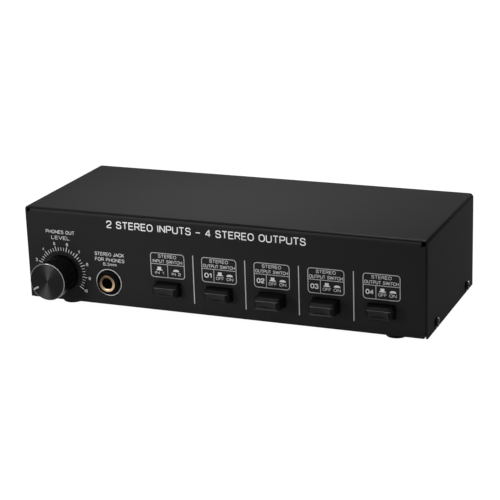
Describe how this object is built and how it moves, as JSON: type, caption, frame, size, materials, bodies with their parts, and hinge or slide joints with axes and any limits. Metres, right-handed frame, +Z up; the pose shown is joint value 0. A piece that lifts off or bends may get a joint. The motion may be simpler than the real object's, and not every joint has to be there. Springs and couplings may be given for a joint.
{
  "type": "speaker selector switch",
  "caption": "Low black steel desktop box with a level knob, a headphone jack and a row of latching push buttons in front, and spring wire terminals behind.",
  "frame": {"origin": "on the surface that the feet stand on, midway across the width, midway between the knob's face and the tips of the terminal levers", "axes": "+X to the right as seen from the front, +Y from the front panel to the back, +Z up"},
  "size_m": [0.254, 0.1332, 0.062],
  "materials": {
    "case_paint": "satin black powder coat",
    "black_screw": "black oxide",
    "rubber": "matt",
    "steel": "zinc plated",
    "black_anodised": "black anodised, spun face, bright cut edge",
    "white_paint": "filled groove",
    "grey_housing": "moulded",
    "black_housing": "moulded",
    "gilt": "gilt, polished",
    "gloss_black": "glossy",
    "board_green": "solder mask",
    "ceramic": "fired ceramic",
    "ribbon_grey": "vinyl",
    "button_black": "satin moulded",
    "plunger_ivory": "moulded",
    "terminal_black": "moulded",
    "lever_red": "moulded",
    "lever_black": "moulded"
  },
  "bodies": {
    "case": {"chassis": "case_paint", "top_cover": "case_paint", "cover_screws": "black_screw", "rubber_feet": "rubber", "foot_screws": "steel", "pot_body": "grey_housing", "pot_washer": "steel", "pot_nut": "steel", "jack_body": "black_housing", "jack_sleeve": "gilt", "jack_ring_nut": "gloss_black", "jack_contacts": "gilt", "front_board": "board_green", "rear_board": "board_green", "board_spacers": "steel", "board_screws": "steel", "resistors": "ceramic", "link_ribbons": "ribbon_grey", "switch_bodies": "black_housing", "terminal_blocks": "terminal_black", "terminal_screws": "steel", "terminal_pins": "gilt"},
    "knob": {"knob": "black_anodised", "pointer_inlay": "white_paint", "knob_grub_screw": "steel", "pot_shaft": "steel"},
    "input_button": {"input_button": "button_black", "input_plunger": "plunger_ivory"},
    "output_1_button": {"output_1_button": "button_black", "output_1_plunger": "plunger_ivory"},
    "output_2_button": {"output_2_button": "button_black", "output_2_plunger": "plunger_ivory"},
    "output_3_button": {"output_3_button": "button_black", "output_3_plunger": "plunger_ivory"},
    "output_4_button": {"output_4_button": "button_black", "output_4_plunger": "plunger_ivory"},
    "lever_in_1_right_black": {"lever_in_1_right_black": "lever_black"},
    "lever_in_1_right_red": {"lever_in_1_right_red": "lever_red"},
    "lever_in_1_left_black": {"lever_in_1_left_black": "lever_black"},
    "lever_in_1_left_red": {"lever_in_1_left_red": "lever_red"},
    "lever_in_2_right_black": {"lever_in_2_right_black": "lever_black"},
    "lever_in_2_right_red": {"lever_in_2_right_red": "lever_red"},
    "lever_in_2_left_black": {"lever_in_2_left_black": "lever_black"},
    "lever_in_2_left_red": {"lever_in_2_left_red": "lever_red"},
    "lever_out_1_right_black": {"lever_out_1_right_black": "lever_black"},
    "lever_out_1_right_red": {"lever_out_1_right_red": "lever_red"},
    "lever_out_1_left_black": {"lever_out_1_left_black": "lever_black"},
    "lever_out_1_left_red": {"lever_out_1_left_red": "lever_red"},
    "lever_out_2_right_black": {"lever_out_2_right_black": "lever_black"},
    "lever_out_2_right_red": {"lever_out_2_right_red": "lever_red"},
    "lever_out_2_left_black": {"lever_out_2_left_black": "lever_black"},
    "lever_out_2_left_red": {"lever_out_2_left_red": "lever_red"},
    "lever_out_3_right_black": {"lever_out_3_right_black": "lever_black"},
    "lever_out_3_right_red": {"lever_out_3_right_red": "lever_red"},
    "lever_out_3_left_black": {"lever_out_3_left_black": "lever_black"},
    "lever_out_3_left_red": {"lever_out_3_left_red": "lever_red"},
    "lever_out_4_right_black": {"lever_out_4_right_black": "lever_black"},
    "lever_out_4_right_red": {"lever_out_4_right_red": "lever_red"},
    "lever_out_4_left_black": {"lever_out_4_left_black": "lever_black"},
    "lever_out_4_left_red": {"lever_out_4_left_red": "lever_red"}
  },
  "joints": [
    {"name": "knob_turn", "type": "hinge", "parent": "case", "child": "knob", "pos_m": [-0.1016, -0.0476, 0.0223], "axis": [0, 1, 0], "range_deg": [-15, 255]},
    {"name": "input_push", "type": "slide", "parent": "case", "child": "input_button", "axis": [0, 1, 0], "range_m": [-0.0035, 0.0005]},
    {"name": "output_1_push", "type": "slide", "parent": "case", "child": "output_1_button", "axis": [0, 1, 0], "range_m": [-0.0035, 0.0005]},
    {"name": "output_2_push", "type": "slide", "parent": "case", "child": "output_2_button", "axis": [0, 1, 0], "range_m": [0, 0.004]},
    {"name": "output_3_push", "type": "slide", "parent": "case", "child": "output_3_button", "axis": [0, 1, 0], "range_m": [0, 0.004]},
    {"name": "output_4_push", "type": "slide", "parent": "case", "child": "output_4_button", "axis": [0, 1, 0], "range_m": [-0.0035, 0.0005]},
    {"name": "press_in_1_right_black", "type": "hinge", "parent": "case", "child": "lever_in_1_right_black", "pos_m": [-0.1081, 0.0564, 0.02585], "axis": [1, 0, 0], "range_deg": [-28, 0], "stiffness_Nm_per_rad": 0.02, "springref_deg": 20.05},
    {"name": "press_in_1_right_red", "type": "hinge", "parent": "case", "child": "lever_in_1_right_red", "pos_m": [-0.1081, 0.0564, 0.04385], "axis": [1, 0, 0], "range_deg": [-28, 0], "stiffness_Nm_per_rad": 0.02, "springref_deg": 20.05},
    {"name": "press_in_1_left_black", "type": "hinge", "parent": "case", "child": "lever_in_1_left_black", "pos_m": [-0.0919, 0.0564, 0.02585], "axis": [1, 0, 0], "range_deg": [-28, 0], "stiffness_Nm_per_rad": 0.02, "springref_deg": 20.05},
    {"name": "press_in_1_left_red", "type": "hinge", "parent": "case", "child": "lever_in_1_left_red", "pos_m": [-0.0919, 0.0564, 0.04385], "axis": [1, 0, 0], "range_deg": [-28, 0], "stiffness_Nm_per_rad": 0.02, "springref_deg": 20.05},
    {"name": "press_in_2_right_black", "type": "hinge", "parent": "case", "child": "lever_in_2_right_black", "pos_m": [-0.0681, 0.0564, 0.02585], "axis": [1, 0, 0], "range_deg": [-28, 0], "stiffness_Nm_per_rad": 0.02, "springref_deg": 20.05},
    {"name": "press_in_2_right_red", "type": "hinge", "parent": "case", "child": "lever_in_2_right_red", "pos_m": [-0.0681, 0.0564, 0.04385], "axis": [1, 0, 0], "range_deg": [-28, 0], "stiffness_Nm_per_rad": 0.02, "springref_deg": 20.05},
    {"name": "press_in_2_left_black", "type": "hinge", "parent": "case", "child": "lever_in_2_left_black", "pos_m": [-0.0519, 0.0564, 0.02585], "axis": [1, 0, 0], "range_deg": [-28, 0], "stiffness_Nm_per_rad": 0.02, "springref_deg": 20.05},
    {"name": "press_in_2_left_red", "type": "hinge", "parent": "case", "child": "lever_in_2_left_red", "pos_m": [-0.0519, 0.0564, 0.04385], "axis": [1, 0, 0], "range_deg": [-28, 0], "stiffness_Nm_per_rad": 0.02, "springref_deg": 20.05},
    {"name": "press_out_1_right_black", "type": "hinge", "parent": "case", "child": "lever_out_1_right_black", "pos_m": [-0.0281, 0.0564, 0.02585], "axis": [1, 0, 0], "range_deg": [-28, 0], "stiffness_Nm_per_rad": 0.02, "springref_deg": 20.05},
    {"name": "press_out_1_right_red", "type": "hinge", "parent": "case", "child": "lever_out_1_right_red", "pos_m": [-0.0281, 0.0564, 0.04385], "axis": [1, 0, 0], "range_deg": [-28, 0], "stiffness_Nm_per_rad": 0.02, "springref_deg": 20.05},
    {"name": "press_out_1_left_black", "type": "hinge", "parent": "case", "child": "lever_out_1_left_black", "pos_m": [-0.0119, 0.0564, 0.02585], "axis": [1, 0, 0], "range_deg": [-28, 0], "stiffness_Nm_per_rad": 0.02, "springref_deg": 20.05},
    {"name": "press_out_1_left_red", "type": "hinge", "parent": "case", "child": "lever_out_1_left_red", "pos_m": [-0.0119, 0.0564, 0.04385], "axis": [1, 0, 0], "range_deg": [-28, 0], "stiffness_Nm_per_rad": 0.02, "springref_deg": 20.05},
    {"name": "press_out_2_right_black", "type": "hinge", "parent": "case", "child": "lever_out_2_right_black", "pos_m": [0.0119, 0.0564, 0.02585], "axis": [1, 0, 0], "range_deg": [-28, 0], "stiffness_Nm_per_rad": 0.02, "springref_deg": 20.05},
    {"name": "press_out_2_right_red", "type": "hinge", "parent": "case", "child": "lever_out_2_right_red", "pos_m": [0.0119, 0.0564, 0.04385], "axis": [1, 0, 0], "range_deg": [-28, 0], "stiffness_Nm_per_rad": 0.02, "springref_deg": 20.05},
    {"name": "press_out_2_left_black", "type": "hinge", "parent": "case", "child": "lever_out_2_left_black", "pos_m": [0.0281, 0.0564, 0.02585], "axis": [1, 0, 0], "range_deg": [-28, 0], "stiffness_Nm_per_rad": 0.02, "springref_deg": 20.05},
    {"name": "press_out_2_left_red", "type": "hinge", "parent": "case", "child": "lever_out_2_left_red", "pos_m": [0.0281, 0.0564, 0.04385], "axis": [1, 0, 0], "range_deg": [-28, 0], "stiffness_Nm_per_rad": 0.02, "springref_deg": 20.05},
    {"name": "press_out_3_right_black", "type": "hinge", "parent": "case", "child": "lever_out_3_right_black", "pos_m": [0.0519, 0.0564, 0.02585], "axis": [1, 0, 0], "range_deg": [-28, 0], "stiffness_Nm_per_rad": 0.02, "springref_deg": 20.05},
    {"name": "press_out_3_right_red", "type": "hinge", "parent": "case", "child": "lever_out_3_right_red", "pos_m": [0.0519, 0.0564, 0.04385], "axis": [1, 0, 0], "range_deg": [-28, 0], "stiffness_Nm_per_rad": 0.02, "springref_deg": 20.05},
    {"name": "press_out_3_left_black", "type": "hinge", "parent": "case", "child": "lever_out_3_left_black", "pos_m": [0.0681, 0.0564, 0.02585], "axis": [1, 0, 0], "range_deg": [-28, 0], "stiffness_Nm_per_rad": 0.02, "springref_deg": 20.05},
    {"name": "press_out_3_left_red", "type": "hinge", "parent": "case", "child": "lever_out_3_left_red", "pos_m": [0.0681, 0.0564, 0.04385], "axis": [1, 0, 0], "range_deg": [-28, 0], "stiffness_Nm_per_rad": 0.02, "springref_deg": 20.05},
    {"name": "press_out_4_right_black", "type": "hinge", "parent": "case", "child": "lever_out_4_right_black", "pos_m": [0.0919, 0.0564, 0.02585], "axis": [1, 0, 0], "range_deg": [-28, 0], "stiffness_Nm_per_rad": 0.02, "springref_deg": 20.05},
    {"name": "press_out_4_right_red", "type": "hinge", "parent": "case", "child": "lever_out_4_right_red", "pos_m": [0.0919, 0.0564, 0.04385], "axis": [1, 0, 0], "range_deg": [-28, 0], "stiffness_Nm_per_rad": 0.02, "springref_deg": 20.05},
    {"name": "press_out_4_left_black", "type": "hinge", "parent": "case", "child": "lever_out_4_left_black", "pos_m": [0.1081, 0.0564, 0.02585], "axis": [1, 0, 0], "range_deg": [-28, 0], "stiffness_Nm_per_rad": 0.02, "springref_deg": 20.05},
    {"name": "press_out_4_left_red", "type": "hinge", "parent": "case", "child": "lever_out_4_left_red", "pos_m": [0.1081, 0.0564, 0.04385], "axis": [1, 0, 0], "range_deg": [-28, 0], "stiffness_Nm_per_rad": 0.02, "springref_deg": 20.05}
  ]
}
